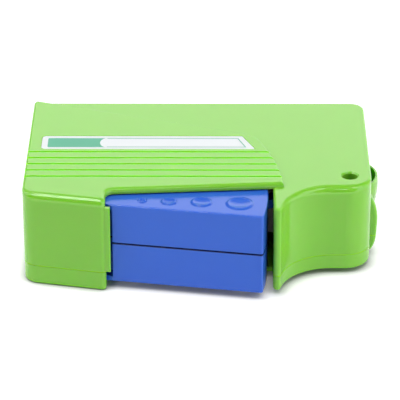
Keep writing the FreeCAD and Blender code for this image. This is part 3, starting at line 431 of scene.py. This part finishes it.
def printLabel(sizes):
    low, high = [Vector(corner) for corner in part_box("top_label")]
    thin = sizes["inkHeight"] * millimetre
    near = sizes["edgeReach"] * millimetre
    line = sizes["lineWidth"] * millimetre
    onFilm = high.z + thin / 2
    left = low.x + sizes["blockLeft"] * millimetre
    right = low.x + sizes["blockRight"] * millimetre
    front = low.y + sizes["frontMargin"] * millimetre
    back = high.y - sizes["backMargin"] * millimetre

    block = startBlock("labelBlock", (left, front, high.z), (right, back, high.z + thin))
    bpy.ops.object.mode_set(mode="EDIT")
    selectWhere(block, "edges", lambda place: place.x < left + thin and abs(place.z - onFilm) < near)
    bpy.ops.mesh.bevel(offset=sizes["blockRound"] * millimetre, segments=sizes["roundSteps"], affect="EDGES")
    bpy.ops.object.mode_set(mode="OBJECT")
    bpy.ops.object.select_all(action="DESELECT")
    bpy.ops.mesh.primitive_cylinder_add(
        vertices=sizes["bulletSides"], radius=1, depth=sizes["bulletHeight"] * millimetre,
        location=(right, (front + back) / 2, onFilm))
    bpy.context.active_object.scale = (sizes["bulletDepth"] * millimetre, (back - front) / 2, 1)
    bullet = newPiece("labelBullet")
    finishWith(block, "BOOLEAN", {"operation": "DIFFERENCE", "object": bullet, "solver": "EXACT"})
    bpy.data.objects.remove(bullet)
    finishPiece(block, tealInk, "casing")

    # the field's outline is cut to the label's slant, inset to a thin frame and given the ink's height
    field = startFlat("labelLine", right - thin, front, high.x, back, high.z + sizes["lineLift"] * millimetre)
    corner, along = labelSlant(sizes["cornerReach"] * millimetre)
    slope = Vector((along.y, -along.x, 0))
    edgePoint = corner - slope * sizes["slantInset"] * millimetre
    bpy.ops.object.mode_set(mode="EDIT")
    bpy.ops.mesh.select_all(action="SELECT")
    bpy.ops.mesh.bisect(plane_co=edgePoint, plane_no=slope, clear_outer=True, use_fill=False)
    bpy.ops.mesh.select_all(action="SELECT")
    bpy.ops.mesh.inset(thickness=line, depth=0)
    bpy.ops.mesh.delete(type="FACE")
    selectWhere(field, "faces", lambda place: place.x < right + line)
    bpy.ops.mesh.delete(type="FACE")
    bpy.ops.object.mode_set(mode="OBJECT")
    finishWith(field, "SOLIDIFY", {"thickness": thin, "offset": 1.0})
    finishPiece(field, tealInk, "casing")


printLabel(labelPrint)
print("label printed")

# springs: each spring's part is copied, merged and cut finer, and the copy stands in for the part, which is
# hidden
springSetup = {
    "coil": {"name": "returnCoil", "node": "lever_return_spring", "cuts": 0, "bodies": ("casing", "lever"),
             "start": (-15.2, -13.8, 26.6), "end": (-15.2, -27.2, 26.6)},
    "leaf": {"name": "pawlLeaf", "node": "drive_pawl_spring", "cuts": 3, "bodies": ("lever", "pawl"),
             "start": (-19.6, -14.2, 6.0), "end": (-30.2, -11.6, 6.0)},
}
mergeReach = 0.001 * millimetre


def copyOfNode(name, node, cuts):
    bpy.ops.object.select_all(action="DESELECT")
    bpy.ops.mesh.primitive_cube_add(size=millimetre, location=(0, 0, 0))
    piece = newPiece(name)
    piece.data = nodes[node].data.copy()
    piece.data.name = name
    bpy.ops.object.mode_set(mode="EDIT")
    bpy.ops.mesh.select_all(action="SELECT")
    bpy.ops.mesh.remove_doubles(threshold=mergeReach)
    if cuts:
        bpy.ops.mesh.subdivide(number_cuts=cuts)
    bpy.ops.object.mode_set(mode="OBJECT")
    piece.data.materials.clear()
    piece.data.materials.append(brightSteel)
    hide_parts(node)
    return piece


for spring in springSetup.values():
    piece = copyOfNode(spring["name"], spring["node"], spring["cuts"])
    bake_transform(piece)
print("springs ready")

# white table: it takes the object's shadow, darker where the two touch, and fades to plain white
# further out
stageLook = {"size": 3.0, "level": -0.00008, "colour": (0.94, 0.94, 0.94), "seenColour": (0.55, 0.55, 0.55),
             "nearGlow": 0.70, "farGlow": 1.0, "fadeFrom": 0.11, "fadeTo": 0.24,
             "contactReach": 0.0038, "contactDark": 0.42, "contactSamples": 16}
bpy.ops.object.select_all(action="DESELECT")
bpy.ops.mesh.primitive_plane_add(size=stageLook["size"], location=(0, 0, stageLook["level"]))
tableTop = bpy.context.active_object
tableTop.name = "tableTop"
nodeWidth = 200


def seenRays(owner, where):
    # 1 for camera, glossy and transmission rays, 0 for the rest
    left, height = where
    rays = addNode(owner, "ShaderNodeLightPath", where)
    seen = rays.outputs["Is Camera Ray"]
    for ray in ("Is Glossy Ray", "Is Transmission Ray"):
        left += nodeWidth
        seen = calculate(owner, "MAXIMUM", (left, height), seen, rays.outputs[ray])
    return seen


def tableMaterial(look):
    material, output = emptyMaterial("tableWhite")
    place = objectPlace(material)
    seen = seenRays(material, (-900, 300))
    tone = mixColours(material, seen, opaque(look["colour"]), opaque(look["seenColour"]), (-200, 150))
    surface = addNode(material, "ShaderNodeBsdfDiffuse", (0, 100))
    join(material, tone, surface.inputs["Color"])
    away = addNode(material, "ShaderNodeVectorMath", (-650, -200), {"operation": "LENGTH"})
    join(material, place, away.inputs[0])
    fade = remap(material, away.outputs["Value"], (-450, -200), {
        "interpolation_type": "SMOOTHSTEP", "From Min": look["fadeFrom"], "From Max": look["fadeTo"],
        "To Min": look["nearGlow"], "To Max": look["farGlow"]})
    contact = addNode(material, "ShaderNodeAmbientOcclusion", (-650, -450),
                      {"samples": look["contactSamples"], "Distance": look["contactReach"]})
    openness = remap(material, contact.outputs["AO"], (-450, -450), {"From Min": look["contactDark"]})
    clear = calculate(material, "MULTIPLY", (-300, -350), openness, fade)
    glow = addNode(material, "ShaderNodeEmission", (0, -100))
    join(material, calculate(material, "MULTIPLY", (-200, -200), seen, clear), glow.inputs["Strength"])
    both = addNode(material, "ShaderNodeAddShader", (350, 0))
    join(material, surface.outputs["BSDF"], both.inputs[0])
    join(material, glow.outputs["Emission"], both.inputs[1])
    join(material, both.outputs["Shader"], output.inputs["Surface"])
    return material


tableTop.data.materials.append(tableMaterial(stageLook))

# the room lights nothing: it is white where it is seen, and in reflections white low down and darker
# overhead
roomLook = {"light": 0.0, "white": 1.0, "dark": 0.05, "whiteBelow": 0.10, "darkAbove": 0.30}


def lightRoom(look):
    world = bpy.data.worlds.new("studio")
    bpy.context.scene.world = world
    world.use_nodes = True
    world.node_tree.nodes.clear()
    white = opaque((1, 1, 1))
    direction = addNode(world, "ShaderNodeTexCoord", (-1100, 0))
    split = addNode(world, "ShaderNodeSeparateXYZ", (-900, 0))
    join(world, direction.outputs["Generated"], split.inputs["Vector"])
    height = remap(world, split.outputs["Z"], (-700, 0), {
        "From Min": look["whiteBelow"], "From Max": look["darkAbove"],
        "To Min": look["white"], "To Max": look["dark"]})
    cameraRay = addNode(world, "ShaderNodeLightPath", (-700, -300))
    strength = calculate(world, "MAXIMUM", (-500, 0), height, cameraRay.outputs["Is Camera Ray"])
    sky = addNode(world, "ShaderNodeBackground", (-250, 150), {"Color": white, "Strength": look["light"]})
    backdrop = addNode(world, "ShaderNodeBackground", (-250, 0), {"Color": white})
    join(world, strength, backdrop.inputs["Strength"])
    pick = addNode(world, "ShaderNodeMixShader", (0, 0))
    join(world, seenRays(world, (-700, 300)), pick.inputs["Fac"])
    join(world, sky.outputs["Background"], pick.inputs[1])
    join(world, backdrop.outputs["Background"], pick.inputs[2])
    final = addNode(world, "ShaderNodeOutputWorld", (250, 0))
    join(world, pick.outputs["Shader"], final.inputs["Surface"])


lightRoom(roomLook)

# soft boxes round the table: bearing (0 is the lever side, 90 the window end), height angle,
# width and height of the box as angles, and how bright its face is
lampDistance = 1.2
lampSetup = {
    "overLeft": {"bearing": 255, "height": 78, "wide": 80, "tall": 12, "bright": 11.6},
    "overRight": {"bearing": 90, "height": 78, "wide": 50, "tall": 12, "bright": 1.4},
    "leftTop": {"bearing": 300, "height": 64, "wide": 30, "tall": 14, "bright": 9.2},
    "rightTop": {"bearing": 60, "height": 64, "wide": 30, "tall": 14, "bright": 6.6},
    "backTop": {"bearing": 225, "height": 64, "wide": 60, "tall": 14, "bright": 0.9},
    "rightUpper": {"bearing": 72, "height": 46, "wide": 36, "tall": 20, "bright": 3.4},
    "leftUpper": {"bearing": 270, "height": 46, "wide": 36, "tall": 20, "bright": 3.4},
    "backUpper": {"bearing": 180, "height": 46, "wide": 100, "tall": 20, "bright": 0.5},
    "frontTop": {"bearing": 4, "height": 62, "wide": 16, "tall": 8, "bright": 10.0},
    "rightMiddle": {"bearing": 75, "height": 26, "wide": 60, "tall": 20, "bright": 1.9},
    "leftMiddle": {"bearing": 255, "height": 26, "wide": 60, "tall": 20, "bright": 2.8},
    "backMiddle": {"bearing": 165, "height": 26, "wide": 60, "tall": 20, "bright": 1.95},
    "rightLow": {"bearing": 60, "height": 8, "wide": 90, "tall": 16, "bright": 2.5},
    "frontLow": {"bearing": 345, "height": 8, "wide": 60, "tall": 16, "bright": 1.7},
    "backLow": {"bearing": 165, "height": 8, "wide": 60, "tall": 16, "bright": 0.7},
}
middle = Vector([(low + high) / 2 for low, high in zip(*cadBounds)])
for name, lamp in lampSetup.items():
    turn = math.radians(lamp["bearing"])
    rise = math.radians(lamp["height"])
    outward = Vector((math.sin(turn) * math.cos(rise), -math.cos(turn) * math.cos(rise), math.sin(rise)))
    bpy.ops.object.light_add(type="AREA", location=middle + outward * lampDistance)
    light = bpy.context.active_object
    light.name = name
    light.data.shape = "RECTANGLE"
    light.data.size = 2 * lampDistance * math.tan(math.radians(lamp["wide"] / 2)) * math.cos(rise)
    light.data.size_y = 2 * lampDistance * math.tan(math.radians(lamp["tall"] / 2))
    light.data.energy = lamp["bright"] * math.pi * light.data.size * light.data.size_y
    light.rotation_euler = (-outward).to_track_quat("-Z", "Y").to_euler()
print("table and lamps ready")

# camera: a long lens, looking down on the lever side
cameraSetup = {"lens": 236.56, "sensor": 36.0, "elevation": 27.503, "azimuth": -0.422, "roll": -0.125,
               "distance": 0.940, "aim": (0.0006, 0.0024, 0.0127), "sightEnd": 20.0}
turn = math.radians(cameraSetup["azimuth"])
lean = math.radians(cameraSetup["elevation"])
sight = Vector((math.sin(turn) * math.cos(lean), math.cos(turn) * math.cos(lean), -math.sin(lean)))
aim = Vector(cameraSetup["aim"])
bpy.ops.object.camera_add(location=aim - sight * cameraSetup["distance"])
camera = bpy.context.active_object
facing = sight.to_track_quat("-Z", "Y").to_matrix()
tilt = Matrix.Rotation(math.radians(cameraSetup["roll"]), 3, "Z")
camera.rotation_euler = (facing @ tilt).to_euler()
camera.data.lens = cameraSetup["lens"]
camera.data.sensor_width = cameraSetup["sensor"]
camera.data.clip_end = cameraSetup["sightEnd"]
bpy.context.scene.camera = camera
bpy.context.scene.view_settings.view_transform = "Standard"
print("camera set")
